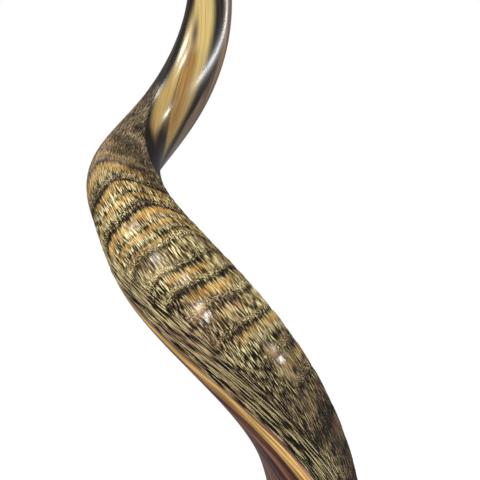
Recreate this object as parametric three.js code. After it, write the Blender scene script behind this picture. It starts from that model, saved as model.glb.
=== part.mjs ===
// A shofar made from one kudu horn, standing upright on its bell.
//
// Millimetres, +Z up. The origin is on the floor, under the middle of the horn's bounding box.
// The horn winds down round a vertical axis from the mouthpiece to the bell, anticlockwise seen
// from above. It is one piece of horn, and the model divides it across its length into zones:
// the mouthpiece cut in the tip, the drilled neck, the hollow polished neck, the upper turn, the
// middle and lower turns in two halves each, and the bell. The air way runs through all of them.
import * as THREE from 'three';
import { ParametricGeometry } from 'three/addons/geometries/ParametricGeometry.js';

// ---------------------------------------------------------------- driving dimensions

// Stations down the middle of the horn, from the tip to the bell, one every quarter turn.
// climb is the height from the next station up to this one, swing is the distance from the
// axis that the horn winds round, depth is the horn's size towards that axis, width is its
// size across that, and wall is the thickness of the horn round the natural hollow.
const stations = [
  { climb: 86, swing: 8, width: 23, depth: 22, wall: 8.5 },
  { climb: 90, swing: 25, width: 24, depth: 23, wall: 9 },
  { climb: 86, swing: 40, width: 27, depth: 27, wall: 10 },
  { climb: 60, swing: 39, width: 34, depth: 38, wall: 8.5 },
  { climb: 87, swing: 38, width: 47, depth: 50, wall: 6.5 },
  { climb: 143, swing: 41, width: 58, depth: 48, wall: 5.5 },
  { climb: 213, swing: 45, width: 69, depth: 59, wall: 4.5 },
  { climb: 0, swing: 6, width: 84, depth: 74, wall: 4 },
];
const tipTurn = -180; // where the tip is round the axis, in degrees from +X
const quarterTurn = 90;
const bellTurn = tipTurn + quarterTurn * (stations.length - 1);

// The section is an ellipse with a keel along one side and a slightly flattened inner face.
// Angles go round the section in degrees, from the side that faces the axis.
const keelAngle = 111;
const keelSpread = 26;
const keelSharpness = 1.5;
const keelRise = 0.3; // share of the half size that the keel stands out by
const cavityKeelRise = 0.16; // the same for the hollow, which follows the keel less
const flatAngle = 40;
const flatSpread = 38;
const flatShare = 0.1;
const roundTipTurn = -170; // above this the tip is worked round, with no keel
const fullKeelTurn = 20; // below this the keel has its full rise

// The mouthpiece and the drilled air way.
const cupDiameter = 15.5;
const cupDepth = 13;
const throatDiameter = 5.6;
const throatLength = 5;
const backboreLength = 9; // the throat opens to the drilled bore over this length
const boreDiameter = 6.6;
const rimRounding = 1.5;

// The bell's mouth is cut level, so the sections tilt to level below this turn.
const levellingTurn = 385;

// Where the zones meet, round the axis, and the gap between them along the horn.
const neckSeam = 0;
const upperSeam = 100;
const middleSeam = 195;
const middleHalfSeam = 240;
const lowerSeam = 285;
const lowerHalfSeam = 330;
const bellSeam = 375;
const seamGap = 0.4;

// Mesh fineness.
const pointsAround = 32;
const turnStep = 10; // degrees of turn between sections
const cupSections = 7;

// ---------------------------------------------------------------- the horn's formulas

const radians = THREE.MathUtils.degToRad;

// A natural cubic spline through values one unit apart.
function naturalSpline(values) {
  const last = values.length - 1;
  const ratio = values.map(() => 0);
  const load = values.map(() => 0);
  const bend = values.map(() => 0);
  for (let i = 1; i < last; i++) {
    const kink = 6 * (values[i + 1] - 2 * values[i] + values[i - 1]);
    const pivot = 4 - ratio[i - 1];
    ratio[i] = 1 / pivot;
    load[i] = (kink - load[i - 1]) / pivot;
  }
  for (let i = last - 1; i > 0; i--) bend[i] = load[i] - ratio[i] * bend[i + 1];
  return (place) => {
    const i = THREE.MathUtils.clamp(Math.floor(place), 0, last - 1);
    const after = place - i;
    const before = 1 - after;
    const line = before * values[i] + after * values[i + 1];
    const curve = (before ** 3 - before) * bend[i] + (after ** 3 - after) * bend[i + 1];
    return line + curve / 6;
  };
}

const heights = stations.map((_, i) => stations.slice(i).reduce((sum, s) => sum + s.climb, 0));
const spline = {
  height: naturalSpline(heights),
  swing: naturalSpline(stations.map((s) => s.swing)),
  width: naturalSpline(stations.map((s) => s.width)),
  depth: naturalSpline(stations.map((s) => s.depth)),
  wall: naturalSpline(stations.map((s) => s.wall)),
};

function sizeAt(name, turn) {
  return spline[name]((turn - tipTurn) / quarterTurn);
}

function centreAt(turn) {
  const swing = sizeAt('swing', turn);
  const angle = radians(turn);
  return new THREE.Vector3(swing * Math.cos(angle), swing * Math.sin(angle), sizeAt('height', turn));
}

// The section's own axes: down the horn, inward to the axis of the winding, and across.
function axesAt(turn) {
  const step = 0.5;
  const down = centreAt(turn + step).sub(centreAt(turn - step)).normalize();
  const inward = new THREE.Vector3(-Math.cos(radians(turn)), -Math.sin(radians(turn)), 0);
  inward.addScaledVector(down, -inward.dot(down)).normalize();
  const across = new THREE.Vector3().crossVectors(inward, down);
  return { down, inward, across };
}

// The turn at which the middle of the horn has run this far from another turn.
function turnAfter(startTurn, length) {
  const step = 0.02;
  let turn = startTurn;
  let run = 0;
  while (run < length) {
    run += centreAt(turn).distanceTo(centreAt(turn + step));
    turn += step;
  }
  return turn;
}

// A smooth hump round the section: 1 at the middle angle, falling away over the spread.
function hump(angle, middle, spread, power) {
  const off = THREE.MathUtils.euclideanModulo(angle - middle + 180, 360) - 180;
  return Math.exp(-(Math.abs(off / spread) ** power));
}

// The section's size at an angle, as a share of the plain ellipse.
function outline(angle, turn, rise) {
  const worked = THREE.MathUtils.smoothstep(turn, roundTipTurn, fullKeelTurn);
  const keel = rise * hump(angle, keelAngle, keelSpread, keelSharpness);
  const flat = flatShare * hump(angle, flatAngle, flatSpread, 2);
  return 1 + worked * (keel - flat);
}

// Slides a point of a section down the horn, so that the bell's last section is level.
function level(point, turn, axes) {
  const share = THREE.MathUtils.smoothstep(turn, levellingTurn, bellTurn);
  const height = sizeAt('height', turn);
  return point.addScaledVector(axes.down, share * (height - point.z) / axes.down.z);
}

// One section: a ring of points, with half sizes given by a function of the angle.
function section(turn, halfSizes) {
  const centre = centreAt(turn);
  const axes = axesAt(turn);
  return Array.from({ length: pointsAround }, (_, i) => {
    const angle = (360 * i) / pointsAround;
    const { deep, wide } = halfSizes(angle);
    const point = centre.clone();
    point.addScaledVector(axes.inward, deep * Math.cos(radians(angle)));
    point.addScaledVector(axes.across, wide * Math.sin(radians(angle)));
    return level(point, turn, axes);
  });
}

function outerSection(turn, inset = 0) {
  return section(turn, (angle) => {
    const share = outline(angle, turn, keelRise);
    const deep = (sizeAt('depth', turn) / 2) * share - inset;
    const wide = (sizeAt('width', turn) / 2) * share - inset;
    return { deep, wide };
  });
}

function roundSection(turn, diameter) {
  return section(turn, () => ({ deep: diameter / 2, wide: diameter / 2 }));
}

// The air way below the mouthpiece: the drilled bore, then the natural hollow once it is wider.
function innerSection(turn) {
  const wall = sizeAt('wall', turn);
  return section(turn, (angle) => {
    const share = outline(angle, turn, cavityKeelRise);
    const deep = Math.max((sizeAt('depth', turn) / 2) * share - wall, boreDiameter / 2);
    const wide = Math.max((sizeAt('width', turn) / 2) * share - wall, boreDiameter / 2);
    return { deep, wide };
  });
}

// ---------------------------------------------------------------- solids

// A closed solid from rings that run down its outside and back up its inside.
function bandOfRings(rings) {
  const pick = (u, v, target) => {
    const ring = rings[Math.round(v * rings.length) % rings.length];
    target.copy(ring[Math.round((1 - u) * pointsAround) % pointsAround]);
  };
  return new ParametricGeometry(pick, pointsAround, rings.length);
}

function turnsBetween(start, end) {
  const count = Math.max(2, Math.ceil((end - start) / turnStep));
  return Array.from({ length: count + 1 }, (_, i) => start + ((end - start) * i) / count);
}

// A length of the horn's wall.
function wallZone(start, end) {
  const turns = turnsBetween(start, end);
  const outside = turns.map((turn) => outerSection(turn));
  const inside = turns.map((turn) => innerSection(turn)).reverse();
  return bandOfRings([...outside, ...inside]);
}

// The tip, with a rounded rim, a bowl-shaped cup, a throat and a backbore.
function mouthpieceZone(start, end) {
  const shoulder = turnAfter(start, rimRounding);
  const outside = [
    outerSection(start, rimRounding),
    ...turnsBetween(shoulder, end).map((turn) => outerSection(turn)),
  ];
  const cup = Array.from({ length: cupSections }, (_, i) => {
    const share = i / (cupSections - 1);
    const narrowing = (cupDiameter - throatDiameter) * (1 - Math.sqrt(1 - share ** 2));
    return roundSection(turnAfter(start, cupDepth * share), cupDiameter - narrowing);
  });
  const throatEnd = roundSection(turnAfter(start, cupDepth + throatLength), throatDiameter);
  const backboreEnd = roundSection(end, boreDiameter);
  return bandOfRings([...outside, backboreEnd, throatEnd, ...cup.reverse()]);
}

// ---------------------------------------------------------------- the horn

const polishedHorn = { color: 0xc9a567, roughness: 0.22, metalness: 0 };
const naturalHorn = { color: 0x6b5636, roughness: 0.6, metalness: 0 };
const paleHorn = { color: 0xa58a5a, roughness: 0.35, metalness: 0 };

const mouthpieceEnd = turnAfter(tipTurn, cupDepth + throatLength + backboreLength);
const below = (seam) => turnAfter(seam, seamGap);

const zones = [
  ['mouthpiece', mouthpieceZone(tipTurn, mouthpieceEnd), paleHorn],
  ['drilled_neck', wallZone(below(mouthpieceEnd), neckSeam), polishedHorn],
  ['polished_neck', wallZone(below(neckSeam), upperSeam), polishedHorn],
  ['upper_turn', wallZone(below(upperSeam), middleSeam), naturalHorn],
  ['middle_turn_upper_half', wallZone(below(middleSeam), middleHalfSeam), naturalHorn],
  ['middle_turn_lower_half', wallZone(below(middleHalfSeam), lowerSeam), naturalHorn],
  ['lower_turn_upper_half', wallZone(below(lowerSeam), lowerHalfSeam), naturalHorn],
  ['lower_turn_lower_half', wallZone(below(lowerHalfSeam), bellSeam), naturalHorn],
  ['bell', wallZone(below(bellSeam), bellTurn), naturalHorn],
];

const group = new THREE.Group();
for (const [name, geometry, look] of zones) {
  const mesh = new THREE.Mesh(geometry, new THREE.MeshStandardMaterial(look));
  mesh.name = name;
  group.add(mesh);
}

// The middle of the horn's box goes over the origin.
const middle = new THREE.Box3().setFromObject(group).getCenter(new THREE.Vector3());
group.position.set(-middle.x, -middle.y, 0);

export default group;
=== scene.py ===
"""A kudu-horn shofar, standing on its bell in a white studio. Metres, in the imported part's frame.

The horn is one surface, worked out as a grid of points: rows run round the horn, one after
another from the mouthpiece down to the bell, over the rim and back up the inside. Each CAD zone
is replaced by the stretch of that surface between its two seams.
"""
import math

import bpy
import numpy as np
from mathutils import Matrix, Vector


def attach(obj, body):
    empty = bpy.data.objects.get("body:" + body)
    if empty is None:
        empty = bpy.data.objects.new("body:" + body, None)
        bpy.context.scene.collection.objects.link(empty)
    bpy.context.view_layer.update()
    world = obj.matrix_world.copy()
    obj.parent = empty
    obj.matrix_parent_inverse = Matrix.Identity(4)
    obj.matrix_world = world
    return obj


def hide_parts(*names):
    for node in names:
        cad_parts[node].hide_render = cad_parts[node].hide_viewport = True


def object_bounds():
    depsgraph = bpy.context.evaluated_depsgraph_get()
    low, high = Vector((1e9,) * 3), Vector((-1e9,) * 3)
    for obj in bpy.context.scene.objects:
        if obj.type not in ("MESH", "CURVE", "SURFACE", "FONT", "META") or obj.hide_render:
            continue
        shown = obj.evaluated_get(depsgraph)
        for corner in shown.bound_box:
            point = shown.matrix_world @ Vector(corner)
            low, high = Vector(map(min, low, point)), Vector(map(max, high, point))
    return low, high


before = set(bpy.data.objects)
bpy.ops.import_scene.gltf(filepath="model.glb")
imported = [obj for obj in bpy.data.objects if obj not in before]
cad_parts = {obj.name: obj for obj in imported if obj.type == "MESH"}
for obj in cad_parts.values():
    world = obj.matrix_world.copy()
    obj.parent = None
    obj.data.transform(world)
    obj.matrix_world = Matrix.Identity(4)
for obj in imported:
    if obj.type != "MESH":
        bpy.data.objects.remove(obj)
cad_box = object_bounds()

MM = 0.001

# ------------------------------------------------------------------ the horn's own sizes, in mm

# One station every quarter turn, from the tip to the bell, as in the CAD part.
CLIMB = (86, 90, 86, 60, 87, 143, 213, 0)
SWING = (8, 25, 40, 39, 38, 41, 45, 6)
WIDTH = (23, 24, 27, 34, 47, 58, 69, 84)
DEPTH = (22, 23, 27, 38, 50, 48, 59, 74)
WALL = (8.5, 9, 10, 8.5, 6.5, 5.5, 4.5, 4)
TIP_TURN = -180.0
QUARTER_TURN = 90.0
BELL_TURN = TIP_TURN + QUARTER_TURN * (len(CLIMB) - 1)

KEEL_ANGLE, KEEL_SPREAD, KEEL_SHARPNESS = 111.0, 26.0, 1.5
KEEL_RISE, CAVITY_KEEL_RISE = 0.3, 0.16
FLAT_ANGLE, FLAT_SPREAD, FLAT_SHARE = 40.0, 38.0, 0.1
ROUND_TIP_TURN, FULL_KEEL_TURN = -170.0, 20.0
LEVELLING_TURN = 385.0

CUP_DIAMETER, CUP_DEPTH = 15.5, 13.0
THROAT_DIAMETER, THROAT_LENGTH, BACKBORE_LENGTH = 5.6, 5.0, 9.0
BORE_DIAMETER = 6.6

# Where the zones meet, in degrees of turn, and how far apart rows lie in each zone, in mm.
SEAMS = (0.0, 100.0, 195.0, 240.0, 285.0, 330.0, 375.0)
ZONES = ("mouthpiece", "drilled_neck", "polished_neck", "upper_turn", "middle_turn_upper_half",
         "middle_turn_lower_half", "lower_turn_upper_half", "lower_turn_lower_half", "bell")
ROW_STEP = (0.7, 1.2, 0.9, 0.65, 0.6, 0.6, 0.6, 0.6, 1.2)
INNER_STEP = 6.0
RIM_ROUNDING = 1.4
RIM_ROUNDING_SHARE = 0.4  # a corner takes at most this share of the wall
RIM_STEPS = 7
CUP_ROWS = 24
POINTS_AROUND = 400
COARSE = 1.0

# ------------------------------------------------------------------ the horn's formulas


def natural_spline(values):
    """A natural cubic spline through one value at each station."""
    values = np.array(values, float)
    last = len(values) - 1
    system = np.eye(last + 1)
    load = np.zeros(last + 1)
    for i in range(1, last):
        system[i, i - 1:i + 2] = 1, 4, 1
        load[i] = 6 * (values[i + 1] - 2 * values[i] + values[i - 1])
    bend = np.linalg.solve(system, load)

    def at(turn):
        place = (np.asarray(turn, float) - TIP_TURN) / QUARTER_TURN
        i = np.clip(np.floor(place).astype(int), 0, last - 1)
        after = place - i
        before = 1 - after
        line = before * values[i] + after * values[i + 1]
        curve = (before ** 3 - before) * bend[i] + (after ** 3 - after) * bend[i + 1]
        return line + curve / 6

    return at


height_at = natural_spline([sum(CLIMB[i:]) for i in range(len(CLIMB))])
swing_at, width_at, depth_at, wall_at = map(natural_spline, (SWING, WIDTH, DEPTH, WALL))


def smooth(x, low, high):
    """0 below low to 1 above high, with a soft start and end."""
    share = np.clip((x - low) / (high - low), 0, 1)
    return share * share * (3 - 2 * share)


def off_angle(angle, middle):
    """How far an angle is past the middle one, the short way round."""
    return (angle - middle + 180) % 360 - 180


def hump(angle, middle, spread, power=2.0):
    """1 at the middle angle, falling away over the spread."""
    return np.exp(-np.abs(off_angle(angle, middle) / spread) ** power)


def centre_at(turn):
    a = np.radians(turn)
    swing = swing_at(turn)
    return np.stack([swing * np.cos(a), swing * np.sin(a), height_at(turn)], -1)


def unit(v):
    return v / np.linalg.norm(v, axis=-1, keepdims=True)


def axes_at(turn):
    """Down the horn, inward to the axis it winds round, and across."""
    down = unit(centre_at(turn + 0.5) - centre_at(turn - 0.5))
    a = np.radians(turn)
    inward = np.stack([-np.cos(a), -np.sin(a), 0 * a], -1)
    inward = unit(inward - down * (inward * down).sum(-1, keepdims=True))
    return down, inward, np.cross(inward, down)


def outline(angle, turn, rise):
    """The section's size at an angle, as a share of the plain ellipse."""
    worked = smooth(turn, ROUND_TIP_TURN, FULL_KEEL_TURN)
    keel = rise * hump(angle, KEEL_ANGLE, KEEL_SPREAD, KEEL_SHARPNESS)
    flat = FLAT_SHARE * hump(angle, FLAT_ANGLE, FLAT_SPREAD)
    return 1 + worked * (keel - flat)


def ring_points(turn, angle, deep, wide):
    """Points of sections, levelled towards the bell's mouth.

    turn is a column and angle a row; deep and wide are the half sizes at each.
    """
    centre = centre_at(turn)
    down, inward, across = axes_at(turn)
    a = np.radians(angle)[..., None]
    points = centre + inward * deep[..., None] * np.cos(a) + across * wide[..., None] * np.sin(a)
    share = smooth(turn, LEVELLING_TURN, BELL_TURN)
    slide = share * (centre[..., 2] - points[..., 2]) / down[..., 2]
    return points + down * slide[..., None]


# How far the middle of the horn has run from the tip at each turn.
FINE_TURNS = np.arange(TIP_TURN, BELL_TURN + 0.05, 0.1)
FINE_STEPS = np.linalg.norm(np.diff(centre_at(FINE_TURNS), axis=0), axis=1)
FINE_RUNS = np.concatenate([[0], np.cumsum(FINE_STEPS)])
LENGTH = FINE_RUNS[-1]


def turn_of(run):
    return np.interp(run, FINE_RUNS, FINE_TURNS)


def run_of(turn):
    return np.interp(turn, FINE_TURNS, FINE_RUNS)


MOUTHPIECE_LENGTH = CUP_DEPTH + THROAT_LENGTH + BACKBORE_LENGTH
SEAM_RUNS = [0.0, MOUTHPIECE_LENGTH, *[float(run_of(t)) for t in SEAMS], float(LENGTH)]

# ------------------------------------------------------------------ where the finishes lie

# All in mm along the horn from the tip, and degrees round the section.
POLISH_EDGE = -35.0  # the inner face is polished from here round to the keel
KEEL_EDGE = 118.0
TEXTURE_START = 306.0  # above this the horn is polished all round
ANGLES = np.arange(POINTS_AROUND) * 360 / POINTS_AROUND

# Growth rings: how far along, half the width, how raised, and how amber each is.
RINGS = [
    (366, 4, 0.15, 0.2), (381, 3, 0.2, 0.25), (397, 4.2, 0.4, 0.6), (415, 2.6, 0.9, 1),
    (425.5, 1.8, 0.8, 1), (440.5, 3, 1, 1), (450.5, 1.9, 0.9, 1), (458.5, 1.3, 0.7, 0.8),
    (470, 3.5, 0.4, 0.35), (484, 2.8, 1, 0.95), (499, 3.2, 1, 1), (515, 3.5, 0.6, 0.5),
    (531, 2.6, 1, 1), (543, 1.5, 0.5, 0.2), (556, 3.6, 0.7, 0.75), (575, 3.5, 0.6, 0.25),
    (598, 3.2, 0.9, 0.8), (617, 4, 0.6, 0.4),
]
FIRST_LOWER_RING, RING_GAPS = 640.0, (17.0, 31.0)  # below the list the rings go on by chance

# Spots where the bark is worn smooth, and where its colour is lifted to golden as a painted
# highlight
# where glints fall: how far along and round, half the length and the width (as an angle), and how
# worn.
WORN_AND_HIGHLIGHT_SPOTS = [
    (544, 183, 8, 7, 1), (557, 178, 5, 7, 1), (503, 167, 6, 10, 1), (466, 180, 9, 18, 0.5),
    (441, 200, 3, 16, 0.8), (484, 190, 4, 20, 0.5), (575, 172, 7, 14, 0.6), (598, 190, 8, 20, 0.5),
]

# Noise is made on a grid with this many columns round the horn, and rows 1 mm apart down it,
# which go on past the bell by a margin.
NOISE_COLUMNS, NOISE_MARGIN = 400, 40


def soft_noise(rows, seed, along, around):
    """A grid of smooth noise, mean 0 and spread 1; along is in rows, and around in degrees."""
    raw = np.random.default_rng(seed).standard_normal((rows, NOISE_COLUMNS))
    row_rate = np.fft.fftfreq(rows)[:, None]
    column_rate = np.fft.fftfreq(NOISE_COLUMNS)[None, :]
    width = around * NOISE_COLUMNS / 360
    keep = np.exp(-2 * np.pi ** 2 * ((row_rate * along) ** 2 + (column_rate * width) ** 2))
    grid = np.fft.ifft2(np.fft.fft2(raw) * keep).real[:, ::NOISE_COLUMNS // POINTS_AROUND]
    grid = (grid - grid.mean()) / grid.std()
    return np.repeat(grid, NOISE_COLUMNS // POINTS_AROUND, 1)


def read_noise(run, angle, seed, along, around):
    """Smooth noise at any runs and angles; along is in mm, and around in degrees."""
    grid = soft_noise(int(LENGTH) + NOISE_MARGIN, seed, along, around)
    run = np.clip(run, 0, len(grid) - 1.001)
    row = np.floor(run).astype(int)
    place = (angle % 360) * NOISE_COLUMNS / 360
    column = np.floor(place).astype(int)
    next_column = (column + 1) % NOISE_COLUMNS
    column = column % NOISE_COLUMNS
    past_row, past_column = run - row, place - np.floor(place)
    upper = grid[row, column] * (1 - past_column) + grid[row, next_column] * past_column
    lower = grid[row + 1, column] * (1 - past_column) + grid[row + 1, next_column] * past_column
    return upper * (1 - past_row) + lower * past_row


def even_noise(run, seed, along, around):
    """The same over whole rows of the surface."""
    return read_noise(run[:, None] + 0 * ANGLES, 0 * run[:, None] + ANGLES, seed, along, around)


# ------------------------------------------------------------------ the outer surface

runs = [0.0]
for k, step in enumerate(ROW_STEP):
    count = max(2, round((SEAM_RUNS[k + 1] - SEAM_RUNS[k]) / (step * COARSE)))
    runs.extend(np.linspace(SEAM_RUNS[k], SEAM_RUNS[k + 1], count + 1)[1:])
runs = np.array(runs)
turns = turn_of(runs)

# The surface is a grid of spots: a column of turns, a row of angles, and the run at each spot.
row_turn, spot_angle = turns[:, None], ANGLES[None, :]
spot_run = np.repeat(runs[:, None], POINTS_AROUND, 1)
shape = outline(spot_angle, row_turn, KEEL_RISE)
half_deep, half_wide = depth_at(row_turn) / 2 * shape, width_at(row_turn) / 2 * shape
outer = ring_points(row_turn, spot_angle, half_deep, half_wide)


def grid_normals(points):
    """Normals of a grid that closes round the horn; its first and last rows are open ends."""
    around = np.roll(points, -1, 1) - np.roll(points, 1, 1)
    along = np.gradient(points, axis=0)
    return unit(np.cross(along, around))


base_normals = grid_normals(outer)

# Fibres grow square to the rings, so they slip round the section as the horn winds.
_, inward_way, across_way = axes_at(turns)
turning = np.gradient(inward_way, axis=0) * across_way
slip = np.degrees(np.cumsum(turning.sum(-1)))[:, None]
FIBRE_ANGLE = spot_angle + slip

# The natural surface: outside the polished face, and below the polished neck.
edge_noise = even_noise(runs, 3, 14, 4)
natural_middle = (KEEL_EDGE + 360 + POLISH_EDGE) / 2
natural_reach = (360 + POLISH_EDGE - KEEL_EDGE) / 2
past_edge = np.abs(off_angle(spot_angle, natural_middle)) - natural_reach
on_face = 1 - smooth(past_edge + edge_noise * 0.8, -1.6, 1.2)
ragged = 4 * even_noise(runs, 4, 10, 12) + 5 * even_noise(runs, 14, 5, 1.2)
ragged_run = spot_run + 12 * hump(spot_angle, 250.0, 40.0) + ragged
started = smooth(ragged_run, TEXTURE_START, TEXTURE_START + 22)
natural = on_face * started

# Growth rings wander round the horn, and droop towards the polished edge in the upper turns.
droop = 15 * smooth(spot_angle, 238, 288) * (1 - smooth(spot_run, 450, 500))
droop = droop * (1 - smooth(spot_angle, 300, 350))
tilt = 2.5 * np.cos(np.radians(spot_angle - 200))
ring_run = spot_run - droop - 1.6 * even_noise(runs, 5, 30, 16) + tilt
chance = np.random.default_rng(11)
rings = list(RINGS)
next_ring = FIRST_LOWER_RING
while next_ring < LENGTH - 15:
    half_width, height = chance.uniform(4, 7), chance.uniform(0.5, 1)
    rings.append((next_ring, half_width, height, chance.uniform(0.2, 0.9)))
    next_ring += chance.uniform(*RING_GAPS)

# Each ring is a smooth amber ridge, with a groove above it and a comb of fibres below. In colour
# the groove is darkened by painted shade and the comb lightened by a painted highlight.
ridge, amber, comb, groove = (np.zeros_like(spot_run) for _ in range(4))
speckle = np.zeros_like(spot_run)
ring_presence = 1 - 0.8 * smooth(spot_run, 505, 550) * (1 - smooth(spot_angle, 155, 185))
for crest, half_width, height, colour in rings:
    off = (ring_run - crest) / half_width
    height = height * ring_presence
    this_ridge = np.exp(-np.abs(off) ** 2.2)
    ridge = np.maximum(ridge, this_ridge * height)
    amber = np.maximum(amber, this_ridge * colour)
    comb = np.maximum(comb, np.exp(-((off - 1.8) / 0.9) ** 2) * height)
    groove = np.maximum(groove, np.exp(-((off + 1.6) / 0.5) ** 2) * height)
    if half_width > 2.4:
        speckle = np.maximum(speckle, np.exp(-((off + 2.6) / 1.0) ** 2) * ring_presence)

# Amber shows on the middle of the outer face, and comes and goes round it.
patchy = even_noise(runs, 12, 6, 12)
amber_start = np.interp(runs, (440, 478), (124, 152))[:, None] + 3 * patchy
amber_face = smooth(spot_angle - amber_start, 0, 26) * (1 - smooth(spot_angle, 262, 306))
amber = amber * amber_face * ring_presence * np.clip(0.95 + 0.3 * patchy, 0, 1.1)


def soft_spot(run, angle, half_run, half_angle):
    """1 at one place on the surface, falling away over half a length and half an angle."""
    along = (spot_run - run) / half_run
    around = off_angle(spot_angle, angle) / half_angle
    return np.exp(-along ** 2 - around ** 2)


worn_and_highlight = np.zeros_like(spot_run)
for run, angle, half_run, half_angle, share in WORN_AND_HIGHLIGHT_SPOTS:
    worn_and_highlight = np.maximum(worn_and_highlight, soft_spot(run, angle, half_run, half_angle) * share)

# Fibres: short fine ridges down the natural surface, weak near the neck.
grain = 0.36 + 0.64 * smooth(ring_run, 385, 430)
short = read_noise(spot_run, FIBRE_ANGLE, 6, 1.4, 0.25)
long_ones = even_noise(runs, 16, 9, 0.7)
by_keel = 1 - smooth(spot_angle + 0 * spot_run, 134, 156)
speckle = 0.75 * speckle * (1 - by_keel)
fibres = (short * (1 - by_keel) + 1.2 * long_ones * by_keel) * grain * (1 - worn_and_highlight)
lumps = even_noise(runs, 8, 5, 8)
raised = 0.28 * ridge + 0.16 * comb - 0.25 * groove + 0.1 * fibres + 0.06 * lumps - 0.35
rise = natural * raised * (0.3 + 0.7 * grain)
rise = rise - (1 - on_face) * smooth(spot_run, 330, 400) * 0.5
rise = rise + 0.06 * even_noise(runs, 9, 35, 25)
rise = np.minimum(rise, 0.9) * smooth(spot_run, 4, 20) * smooth(LENGTH - spot_run, 1.5, 6)

# The winding's axis stands where the middle of the horn's box is over the origin, and no rib
# stands out of that box.
BOX = np.array([cad_box[0], cad_box[1]]) / MM
AXIS = BOX.mean(0) - (outer.reshape(-1, 3).min(0) + outer.reshape(-1, 3).max(0)) / 2
AXIS[2] = 0
outer = outer + base_normals * rise[..., None]
outer = np.clip(outer, BOX[0] - AXIS, BOX[1] - AXIS)

# Polished honey horn: a panel down the inner face of the neck, between near-black margins.
# A crack runs down it and opens into a dark wedge, beside a browner band and a dark smudge.
panel_left = np.interp(runs, (0, 200, 227, 261, 297, 312, 344, 374, 420),
                       (-70, 30, 20, 0, -20, -30, -25, -8, 5))
panel_right = np.interp(runs, (0, 200, 227, 263, 301, 325, 350, 375, 420),
                        (120, 90, 82, 74, 66, 60, 48, 34, 20))
centre_line = ((panel_left + panel_right) / 2)[:, None]
reach = ((panel_right - panel_left) / 2)[:, None]
from_line = np.abs(off_angle(spot_angle, centre_line + 1.5 * even_noise(runs, 20, 40, 6)))
honey = 1 - smooth(from_line - reach, -11, 6)
crack_width = np.interp(runs, (262, 275, 300, 322, 345, 400), (0, 1.4, 2.0, 4.5, 17, 50))[:, None]
crack_off = np.abs(off_angle(spot_angle, 10.5 + 1.2 * even_noise(runs, 21, 12, 30)))
crack = 1 - smooth(crack_off / np.maximum(crack_width, 0.01), 0.6, 1.6)
crack = crack * smooth(spot_run, 262, 285) * (0.55 + 0.45 * smooth(spot_run, 315, 345))
crack = crack * (1 - smooth(spot_run, 375, 430))
wander = 1.5 * even_noise(runs, 22, 25, 30)
brown = smooth(spot_angle + wander, 9, 16) * (1 - smooth(spot_angle + wander, 38, 48))
brown = brown * smooth(spot_run, 258, 272) * (1 - 0.6 * smooth(spot_run, 315, 345))
smudge = soft_spot(254, 27, 13, 10)
mauve_edge = np.interp(runs, (0, 227, 272, 299, 313, 420), (118, 100, 95, 82, 74, 74))[:, None]
mauve = smooth(spot_angle, mauve_edge - 4, mauve_edge + 4) * (1 - smooth(spot_angle, 270, 300))

# The golden keel strip, wider towards the bell.
strip_half = np.interp(runs, (400, 470, 530, 600, 893), (0.5, 1.5, 2.8, 4.6, 6.5))[:, None]
strip_middle = KEEL_EDGE - 1 - strip_half
keel_strip = 1 - smooth(np.abs(off_angle(spot_angle, strip_middle)) / strip_half, 0.75, 1.15)
keel_strip = keel_strip * smooth(spot_run, 420, 470)
keel_strip = keel_strip * (1 - smooth(spot_run, LENGTH - 60, LENGTH + 40))

# What the materials read at each spot. Painted shade darkens the bark down the lower turns, where
# the light falls off.
# Painted light: shade darkens the bark's colour in the groove above each ring (painted shade) and
# lightens it on the comb below (painted highlight); the lumps are random tone.
shade = 0.7 * comb - 1.0 * groove + 0.25 * lumps
lower_painted_shade = smooth(spot_run, 480, 610) * (0.6 + 0.4 * smooth(spot_angle, 135, 165))
FIELDS = {
    "natural": natural, "amber": amber, "fibres": fibres, "grain": grain, "worn_and_highlight": worn_and_highlight,
    "shade": shade, "speckle": speckle, "by_keel": by_keel, "lower_painted_shade": lower_painted_shade, "honey": honey,
    "crack": crack, "brown": brown, "smudge": smudge, "mauve": mauve, "keel_strip": keel_strip,
}

# ------------------------------------------------------------------ rims and the inner surface


def inner_rows():
    """The air way from the bell's rim up to the mouthpiece's seam, as runs and points."""
    rows = [LENGTH]
    for k in reversed(range(1, len(ZONES))):
        count = max(2, round((SEAM_RUNS[k + 1] - SEAM_RUNS[k]) / INNER_STEP))
        rows.extend(np.linspace(SEAM_RUNS[k + 1], SEAM_RUNS[k], count + 1)[1:])
    turn = turn_of(rows)[:, None]
    share = outline(spot_angle, turn, CAVITY_KEEL_RISE)
    bore = BORE_DIAMETER / 2
    deep = np.maximum(depth_at(turn) / 2 * share - wall_at(turn), bore)
    wide = np.maximum(width_at(turn) / 2 * share - wall_at(turn), bore)
    return np.array(rows), ring_points(turn, spot_angle, deep, wide)


def cup_rows():
    """The throat and cup, from the mouthpiece's seam up to its rim."""
    places = [(CUP_DEPTH + THROAT_LENGTH, THROAT_DIAMETER)]
    for share in np.linspace(1, 0, CUP_ROWS):
        narrowing = (CUP_DIAMETER - THROAT_DIAMETER) * (1 - math.sqrt(1 - share ** 2))
        places.append((CUP_DEPTH * share, CUP_DIAMETER - narrowing))
    rows, diameters = np.array(places).T
    half = diameters[:, None] / 2 * np.ones_like(spot_angle)
    return rows, ring_points(turn_of(rows)[:, None], spot_angle, half, half)


in_run, in_points = inner_rows()
cup_run, cup_points = cup_rows()


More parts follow.
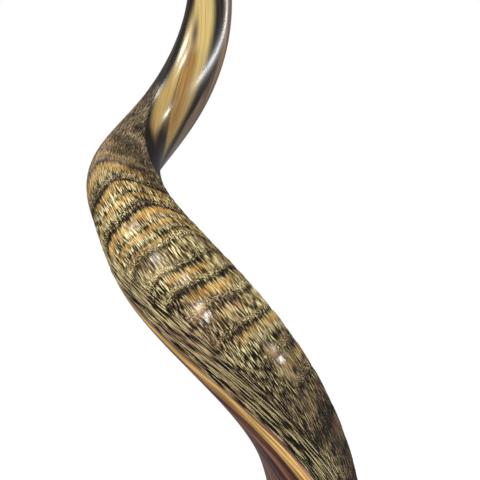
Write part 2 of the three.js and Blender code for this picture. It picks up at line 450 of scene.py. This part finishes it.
def rounded(edge_out, edge_in, before_out, before_in):
    """Rows over a rim, from the outer surface to the inner one, with rounded corners."""
    across = edge_in - edge_out
    thick = np.linalg.norm(across, axis=-1, keepdims=True)
    across = across / thick
    up_out, up_in = unit(before_out - edge_out), unit(before_in - edge_in)
    r = np.minimum(RIM_ROUNDING, thick * RIM_ROUNDING_SHARE)
    quarter = [math.pi / 2 * k / RIM_STEPS for k in range(RIM_STEPS + 1)]
    rows = []
    for a in quarter:
        rows.append(edge_out + up_out * r * (1 - math.sin(a)) + across * r * (1 - math.cos(a)))
    for a in quarter:
        rows.append(edge_in - across * r * (1 - math.sin(a)) + up_in * r * (1 - math.cos(a)))
    return np.array(rows)


# The rows that a rim's corners are aimed from lie clear of the rounding.
bell_rim = rounded(outer[-1], in_points[0], outer[-4], in_points[1])
mouth_rim = rounded(cup_points[-1], outer[0], cup_points[-3], outer[4])

# The whole skin as one grid: down the outside, over the bell's rim, up the air way and the cup,
# and over the mouthpiece's rim. Each zone takes its own rows, and their normals, from it.
clear_of_rims = (runs > RIM_ROUNDING) & (runs < LENGTH - RIM_ROUNDING)
cup_clear = cup_run > RIM_ROUNDING
skin = np.concatenate([
    outer[clear_of_rims], bell_rim, in_points[1:], cup_points[cup_clear], mouth_rim])
skin_run = np.concatenate([
    runs[clear_of_rims], np.full(len(bell_rim), LENGTH), in_run[1:], cup_run[cup_clear],
    np.zeros(len(mouth_rim))])
skin_normals = grid_normals(skin)
outer_count = clear_of_rims.sum()
skin_fibre_angle = np.zeros(skin.shape[:2]) + spot_angle
skin_fibre_angle[:outer_count] = FIBRE_ANGLE[clear_of_rims]

# 1 on the rows of the air way and the cup, which have the bore's material.
bore_side = np.zeros(len(skin), int)
bore_side[outer_count + len(bell_rim):len(skin) - len(mouth_rim)] = 1

# Beyond the outer rows every field is 0, but the mouthpiece's rim is honey horn.
for name, grid in FIELDS.items():
    beyond = np.zeros((len(skin) - outer_count, POINTS_AROUND))
    if name == "honey":
        beyond[-len(mouth_rim):] = 1
    FIELDS[name] = np.concatenate([grid[clear_of_rims], beyond])

# ------------------------------------------------------------------ pieces

TUBE_RADIUS, TUBE_SCALE = 3.0, 10.0  # the tube that noise is laid on, and its mm to a unit


def zone_rows(k):
    """The rows of the skin that make one zone, in order round its closed band."""
    return np.flatnonzero((skin_run > SEAM_RUNS[k] - 0.001) & (skin_run < SEAM_RUNS[k + 1] + 0.001))


def write_attribute(mesh, name, kind, slot, values):
    layer = mesh.attributes.new(name, kind, "POINT")
    layer.data.foreach_set(slot, values.astype(np.float32).ravel())


def build(name, rows, materials):
    """A closed piece from rows of the skin, with the fields that its materials read."""
    first = np.arange(len(rows))[:, None] * POINTS_AROUND
    column = np.arange(POINTS_AROUND)[None, :]
    next_first, next_column = np.roll(first, -1), np.roll(column, -1)
    corners = (first + column, next_first + column, next_first + next_column, first + next_column)
    quads = np.stack(corners, -1).reshape(-1, 4)
    mesh = bpy.data.meshes.new(name)
    mesh.vertices.add(len(rows) * POINTS_AROUND)
    mesh.vertices.foreach_set("co", ((skin[rows] + AXIS) * MM).ravel())
    mesh.loops.add(quads.size)
    mesh.loops.foreach_set("vertex_index", quads.ravel().astype(np.int32))
    mesh.polygons.add(len(quads))
    mesh.polygons.foreach_set("loop_start", (np.arange(len(quads)) * 4).astype(np.int32))
    mesh.polygons.foreach_set("use_smooth", np.ones(len(quads), bool))
    bore_face = np.repeat(bore_side[rows], POINTS_AROUND)
    mesh.polygons.foreach_set("material_index", bore_face.astype(np.int32))
    mesh.update(calc_edges=True)
    mesh.normals_split_custom_set_from_vertices(skin_normals[rows].reshape(-1, 3).tolist())
    for material in materials:
        mesh.materials.append(material)
    for read_as, grid in FIELDS.items():
        write_attribute(mesh, read_as, "FLOAT", "value", grid[rows])
    along = np.repeat(skin_run[rows][:, None], POINTS_AROUND, 1)
    spaces = {"horn_space": spot_angle + 0 * along, "fibre_space": skin_fibre_angle[rows]}
    for space, angle in spaces.items():
        a = np.radians(angle)
        tube = (TUBE_RADIUS * np.cos(a), TUBE_RADIUS * np.sin(a), along / TUBE_SCALE)
        place = np.stack(tube, -1)
        write_attribute(mesh, space, "FLOAT_VECTOR", "vector", place)
    write_attribute(mesh, "run", "FLOAT", "value", along)
    piece = bpy.data.objects.new(name, mesh)
    bpy.context.scene.collection.objects.link(piece)
    return piece


# ------------------------------------------------------------------ materials

BUMP_DISTANCE = 0.0006  # metres


def node(tree, kind, **settings):
    made = tree.nodes.new(kind)
    for key, value in settings.items():
        setattr(made, key, value)
    return made


def new_material(name):
    material = bpy.data.materials.new(name)
    material.use_nodes = True
    return material, material.node_tree, material.node_tree.nodes["Principled BSDF"]


def feed(tree, value, socket):
    """Links another node's output to a socket, or sets the socket to a number or a colour."""
    if hasattr(value, "is_output"):
        tree.links.new(value, socket)
    elif hasattr(value, "__len__"):
        socket.default_value = (*value, 1)
    else:
        socket.default_value = value


def feed_inputs(tree, made, values):
    for name, value in values.items():
        feed(tree, value, made.inputs[name])


def mix(tree, factor, first, second, blend="MIX"):
    """The first colour where the factor is 0, and the second where it is 1."""
    made = node(tree, "ShaderNodeMix", data_type="RGBA", blend_type=blend)
    for value, socket in ((factor, 0), (first, 6), (second, 7)):
        feed(tree, value, made.inputs[socket])
    return made.outputs[2]


def tint(tree, colour, shade):
    return mix(tree, 1.0, colour, shade, "MULTIPLY")


def math_node(tree, operation, *values):
    made = node(tree, "ShaderNodeMath", operation=operation)
    for value, socket in zip(values, made.inputs):
        feed(tree, value, socket)
    return made.outputs[0]


def ramp(tree, value, stops):
    """A colour or a grey for each value, blended between the stops."""
    made = node(tree, "ShaderNodeValToRGB")
    feed(tree, value, made.inputs[0])
    while len(made.color_ramp.elements) < len(stops):
        made.color_ramp.elements.new(0.5)
    for element, (place, shade) in zip(made.color_ramp.elements, stops):
        element.position = place
        element.color = (*shade, 1) if hasattr(shade, "__len__") else (shade, shade, shade, 1)
    return made.outputs[0]


def field(tree, name):
    """The value of one of FIELDS at the spot that is shaded."""
    return node(tree, "ShaderNodeAttribute", attribute_name=name).outputs["Fac"]


def noise(tree, stretch, scale, detail, rough, seed, space="horn_space"):
    """Noise in one of the horn's own spaces, stretched along it."""
    mapping = node(tree, "ShaderNodeMapping")
    mapping.inputs["Scale"].default_value = (1, 1, 1 / stretch)
    mapping.inputs["Location"].default_value = (seed, seed * 1.7, seed * 0.6)
    place = node(tree, "ShaderNodeAttribute", attribute_name=space).outputs["Vector"]
    feed(tree, place, mapping.inputs[0])
    made = node(tree, "ShaderNodeTexNoise")
    feed_inputs(tree, made, {
        "Vector": mapping.outputs[0], "Scale": scale, "Detail": detail, "Roughness": rough})
    return made.outputs[0]


def srgb(*levels):
    """A colour from its display levels, 0 to 255, as the light that it stands for."""
    shares = [level / 255 for level in levels]
    return tuple(s / 12.92 if s < 0.04045 else ((s + 0.055) / 1.055) ** 2.4 for s in shares)


def run_band(tree, low, high):
    """0 below low to 1 above high, in mm along the horn."""
    made = node(tree, "ShaderNodeMapRange", interpolation_type="SMOOTHSTEP")
    for value, socket in zip((field(tree, "run"), low, high), made.inputs):
        feed(tree, value, socket)
    return made.outputs[0]


def add_bump(tree, shader, height, strength):
    bump = node(tree, "ShaderNodeBump")
    feed_inputs(tree, bump, {"Distance": BUMP_DISTANCE, "Strength": strength, "Height": height})
    feed(tree, bump.outputs[0], shader.inputs["Normal"])


def bark_crest(tree):
    """How high each spot of the bark stands, about 0.5: fine fibres, and grains above rings."""
    fine = noise(tree, 10, 21, 1, 0.4, 1.0, space="fibre_space")
    long_ones = noise(tree, 28, 24, 1, 0.4, 5.0)
    grains = noise(tree, 1.6, 20, 1, 0.5, 7.0)
    hair = mix(tree, field(tree, "by_keel"), fine, long_ones)
    hair = mix(tree, field(tree, "speckle"), hair, grains)
    hair = math_node(tree, "SUBTRACT", hair, 0.5)
    hair = math_node(tree, "MULTIPLY", hair, field(tree, "grain"))
    smoother = math_node(tree, "MAXIMUM", field(tree, "worn_and_highlight"), field(tree, "amber"))
    rougher = math_node(tree, "MULTIPLY_ADD", smoother, -0.8, 1.0)
    hair = math_node(tree, "MULTIPLY", hair, rougher)
    keel_contrast = math_node(tree, "MULTIPLY_ADD", field(tree, "by_keel"), 0.6, 1.0)
    hair = math_node(tree, "MULTIPLY", hair, keel_contrast)
    crest = math_node(tree, "MULTIPLY_ADD", field(tree, "fibres"), 0.06, 0.49)
    crest = math_node(tree, "MULTIPLY_ADD", hair, 3.2, crest)
    # The shade field moves the crest, which also sets the bark's colour: painted shade in the ring
    # grooves, painted highlight on the combs.
    return math_node(tree, "MULTIPLY_ADD", field(tree, "shade"), 0.2, crest)


def bark_colour(tree, crest):
    """Olive-black grooves to cream fibre tips, browner in patches, and amber on the rings. The
    black is partly painted shade between the fibres, and the cream partly painted glints on them.
    """
    # Painted light: along each crest ramp here the light end stands partly for glints on the fibre
    # tips, and the dark end partly for shade between the fibres.
    olive = ramp(tree, crest, [
        (0.26, srgb(5, 4, 2)), (0.48, srgb(30, 25, 15)), (0.62, srgb(98, 84, 50)),
        (0.78, srgb(188, 166, 106)), (1.0, srgb(252, 240, 186))])
    brown = ramp(tree, crest, [
        (0.2, srgb(18, 10, 8)), (0.44, srgb(46, 30, 20)), (0.6, srgb(82, 58, 40)),
        (0.9, srgb(176, 148, 112))])
    patch = ramp(tree, noise(tree, 1.5, 0.45, 3, 0.5, 2.0), [(0.48, 0.0), (0.66, 0.8)])
    bark = mix(tree, patch, olive, brown)
    umber = ramp(tree, crest, [
        (0.3, srgb(26, 19, 12)), (0.5, srgb(74, 60, 44)), (0.66, srgb(140, 122, 94)),
        (0.85, srgb(206, 192, 158))])
    bark = mix(tree, run_band(tree, 385, 425), umber, bark)
    amber = ramp(tree, crest, [
        (0.24, srgb(56, 38, 18)), (0.46, srgb(152, 112, 54)), (0.6, srgb(208, 170, 98)),
        (0.9, srgb(252, 236, 178))])
    # Painted highlight: at the worn spots the colour is lifted towards the golden amber, where
    # glints fall; their smoother, glossier surface is real wear.
    golden = math_node(tree, "MAXIMUM", field(tree, "amber"),
                       math_node(tree, "MULTIPLY", field(tree, "worn_and_highlight"), 0.7))
    bark = mix(tree, golden, bark, amber)
    # Painted shade: the bark is darkened down the lower turns, where the light falls off.
    darker = tint(tree, bark, (0.13, 0.1, 0.07))
    bark = mix(tree, field(tree, "lower_painted_shade"), bark, darker)
    darker = tint(tree, bark, (0.68, 0.66, 0.6))
    return mix(tree, field(tree, "by_keel"), bark, darker)


def polished_colour(tree):
    """Honey horn on the neck, darker down it by painted shade, near-black beside it, purple-brown
    lower down, and the keel.
    """
    fine = noise(tree, 30, 9, 2, 0.5, 9.0)
    honey = ramp(tree, fine, [
        (0.3, srgb(164, 140, 80)), (0.5, srgb(190, 166, 102)), (0.7, srgb(208, 186, 124))])
    band = ramp(tree, fine, [(0.3, srgb(104, 74, 34)), (0.6, srgb(154, 116, 60))])
    # Painted shade: the honey is darkened down the neck, where the light falls off.
    painted_shade_honey = tint(tree, honey, (0.66, 0.6, 0.56))
    honey = mix(tree, run_band(tree, 240, 300), honey, painted_shade_honey)
    pinkish = tint(tree, honey, (0.62, 0.5, 0.56))
    honey = mix(tree, run_band(tree, 320, 370), honey, pinkish)
    honey = mix(tree, field(tree, "brown"), honey, band)
    honey = mix(tree, field(tree, "smudge"), honey, srgb(84, 64, 52))
    dark = ramp(tree, noise(tree, 14, 1.8, 3, 0.5, 12.0), [
        (0.35, srgb(7, 6, 5)), (0.6, srgb(20, 17, 12)), (0.75, srgb(52, 42, 28))])
    mauve = ramp(tree, noise(tree, 20, 5, 3, 0.5, 19.0), [
        (0.35, srgb(84, 66, 52)), (0.65, srgb(134, 112, 90))])
    dark = mix(tree, field(tree, "mauve"), dark, mauve)
    purple = ramp(tree, noise(tree, 20, 4, 3, 0.5, 17.0), [
        (0.35, srgb(46, 28, 40)), (0.5, srgb(100, 62, 48)), (0.66, srgb(158, 112, 78))])
    dark = mix(tree, run_band(tree, 430, 520), dark, purple)
    polished = mix(tree, field(tree, "honey"), dark, honey)
    polished = mix(tree, run_band(tree, 338, 388), polished, dark)
    polished = mix(tree, field(tree, "crack"), polished, srgb(14, 8, 10))
    gold = ramp(tree, noise(tree, 40, 12, 2, 0.5, 15.0), [
        (0.3, srgb(110, 76, 36)), (0.5, srgb(158, 126, 70)), (0.7, srgb(200, 170, 108))])
    bright_gold = tint(tree, gold, (1.35, 1.35, 1.4))
    gold = mix(tree, run_band(tree, 540, 620), gold, bright_gold)
    return mix(tree, field(tree, "keel_strip"), polished, gold)


def horn_skin():
    """The outer surface: natural bark outside, and polished horn on the neck and inner face."""
    material, tree, shader = new_material("horn_skin")
    natural_mask = field(tree, "natural")
    crest = bark_crest(tree)
    colour = mix(tree, natural_mask, polished_colour(tree), bark_colour(tree, crest))
    rough_bark = ramp(tree, crest, [(0.35, 0.95), (0.8, 0.4)])
    rough = mix(tree, natural_mask, (0.35, 0.35, 0.35), rough_bark)
    polish = math_node(tree, "SUBTRACT", 1.0, natural_mask)
    duller = math_node(tree, "MULTIPLY_ADD", run_band(tree, 325, 375), -0.75, 1.0)
    polish = math_node(tree, "MULTIPLY", polish, duller)
    polish = math_node(tree, "MAXIMUM", polish, field(tree, "worn_and_highlight"))
    feed_inputs(tree, shader, {
        "Base Color": colour, "Roughness": rough, "Specular IOR Level": 0.22,
        "Coat Weight": polish, "Coat Roughness": 0.24})
    add_bump(tree, shader, crest, math_node(tree, "MULTIPLY", natural_mask, 0.6))
    return material


def bore_wall():
    """The inside: dull brown horn, in soft patches of lighter and darker brown."""
    material, tree, shader = new_material("bore_wall")
    shade = ramp(tree, noise(tree, 9, 1.5, 4, 0.6, 20.0), [
        (0.3, srgb(46, 34, 26)), (0.55, srgb(92, 72, 50)), (0.75, srgb(140, 116, 82))])
    feed_inputs(tree, shader, {"Base Color": shade, "Roughness": 0.6})
    add_bump(tree, shader, noise(tree, 8, 4, 4, 0.6, 21.0), 0.5)
    return material


SKIN, BORE = horn_skin(), bore_wall()

# ------------------------------------------------------------------ camera, light and floor

CAMERA_DISTANCE = 0.9
CAMERA_ELEVATION = math.radians(-8)
CAMERA_ROLL = math.radians(-10.1)
CAMERA_SIDE_STEP = 0.0291
CAMERA_LENS = 105.47
LOOK_HEIGHT = 0.4
HORN_MIDDLE = Vector((0, 0, 0.45))
FLOOR_REACH, FLOOR_SIDES = 9.0, 96
FLOOR_GLOW = 0.9
SOFT_LIGHT = 0.22  # what the white surroundings throw on the horn, where they look like 1


def add_camera():
    """A close-up of the middle of the horn from a little below it, with the camera rolled."""
    forward = Vector((0, math.cos(CAMERA_ELEVATION), -math.sin(CAMERA_ELEVATION)))
    level_right = Vector((1, 0, 0))
    level_up = level_right.cross(forward)
    right = level_right * math.cos(CAMERA_ROLL) + level_up * math.sin(CAMERA_ROLL)
    up = level_up * math.cos(CAMERA_ROLL) - level_right * math.sin(CAMERA_ROLL)
    target = Vector((AXIS[0] * MM, AXIS[1] * MM, LOOK_HEIGHT))
    place = target - forward * CAMERA_DISTANCE + right * CAMERA_SIDE_STEP
    camera = bpy.data.objects.new("camera", bpy.data.cameras.new("camera"))
    camera.data.lens = CAMERA_LENS
    camera.data.clip_start = 0.05
    camera.data.clip_end = 60
    turn = Matrix((right, up, -forward)).transposed().to_4x4()
    camera.matrix_world = Matrix.Translation(place) @ turn
    bpy.context.scene.collection.objects.link(camera)
    bpy.context.scene.camera = camera


def add_area(name, place, target, size, power, tall=None):
    """A rectangular lamp at a place, aimed at a target; metres and watts."""
    light = bpy.data.lights.new(name, "AREA")
    light.energy = power
    light.shape = "RECTANGLE"
    light.size = size
    light.size_y = tall or size
    made = bpy.data.objects.new(name, light)
    made.location = place
    made.rotation_euler = (Vector(target) - Vector(place)).to_track_quat("-Z", "Y").to_euler()
    bpy.context.scene.collection.objects.link(made)
    return made


def add_floor():
    """A wide round floor, smooth at its edge, that runs into the pale surroundings."""
    angles = np.linspace(0, 2 * math.pi, FLOOR_SIDES + 1)[:-1]
    ring = [(FLOOR_REACH * math.cos(a), FLOOR_REACH * math.sin(a), 0) for a in angles]
    faces = [(0, 1 + i, 1 + (i + 1) % FLOOR_SIDES) for i in range(FLOOR_SIDES)]
    mesh = bpy.data.meshes.new("floor")
    mesh.from_pydata([(0, 0, 0), *ring], [], faces)
    floor = bpy.data.objects.new("floor", mesh)
    material, tree, shader = new_material("floor_white")
    feed_inputs(tree, shader, {
        "Base Color": (0.9, 0.9, 0.9), "Roughness": 0.9, "Specular IOR Level": 0.1,
        "Emission Color": (1, 1, 1), "Emission Strength": FLOOR_GLOW})
    floor.visible_diffuse = False
    floor.visible_glossy = False
    mesh.materials.append(material)
    bpy.context.scene.collection.objects.link(floor)


def add_surroundings():
    """White to the eye, and a dimmer soft light on the horn, so that dark horn stays dark."""
    world = bpy.data.worlds.new("studio")
    bpy.context.scene.world = world
    world.use_nodes = True
    tree = world.node_tree
    tree.nodes.clear()
    choose = node(tree, "ShaderNodeMixShader")
    ray = node(tree, "ShaderNodeLightPath")
    feed(tree, ray.outputs["Is Camera Ray"], choose.inputs[0])
    for strength, socket in ((SOFT_LIGHT, choose.inputs[1]), (1.0, choose.inputs[2])):
        white = node(tree, "ShaderNodeBackground")
        feed(tree, (1, 1, 1), white.inputs[0])
        feed(tree, strength, white.inputs[1])
        feed(tree, white.outputs[0], socket)
    out = node(tree, "ShaderNodeOutputWorld")
    feed(tree, choose.outputs[0], out.inputs[0])


def towards(azimuth, elevation, distance):
    """A place round the horn's middle. Azimuth 0 is in front, and 90 to the right."""
    a, e = math.radians(azimuth), math.radians(elevation)
    way = Vector((math.sin(a) * math.cos(e), -math.cos(a) * math.cos(e), math.sin(e)))
    return HORN_MIDDLE + way * distance


def add_lamps():
    add_area("left_window", towards(-44, 20, 1.3), HORN_MIDDLE, size=0.36, power=13)
    add_area("front_lamp", towards(-12, 10, 1.3), HORN_MIDDLE, size=0.14, power=8)
    add_area("right_lamp", towards(68, 12, 1.1), HORN_MIDDLE, size=0.07, power=4)
    add_area("upper_left", towards(-50, 62, 1.3), HORN_MIDDLE, size=0.3, power=4)
    add_area("low_strip", (0.36, -0.18, 0.12), (0.035, 0.02, 0.53), 0.045, 1.8, tall=0.25)
    back = add_area("back_soft", towards(160, 35, 1.6), HORN_MIDDLE, size=0.8, power=24)
    back.visible_glossy = False


add_camera()
add_surroundings()
add_floor()
add_lamps()
bpy.context.scene.view_settings.view_transform = "Standard"

# ------------------------------------------------------------------ the horn's zones

for k, zone in enumerate(ZONES):
    piece = build("horn_" + zone, zone_rows(k), [SKIN, BORE])
    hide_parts(zone)
    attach(piece, "root")
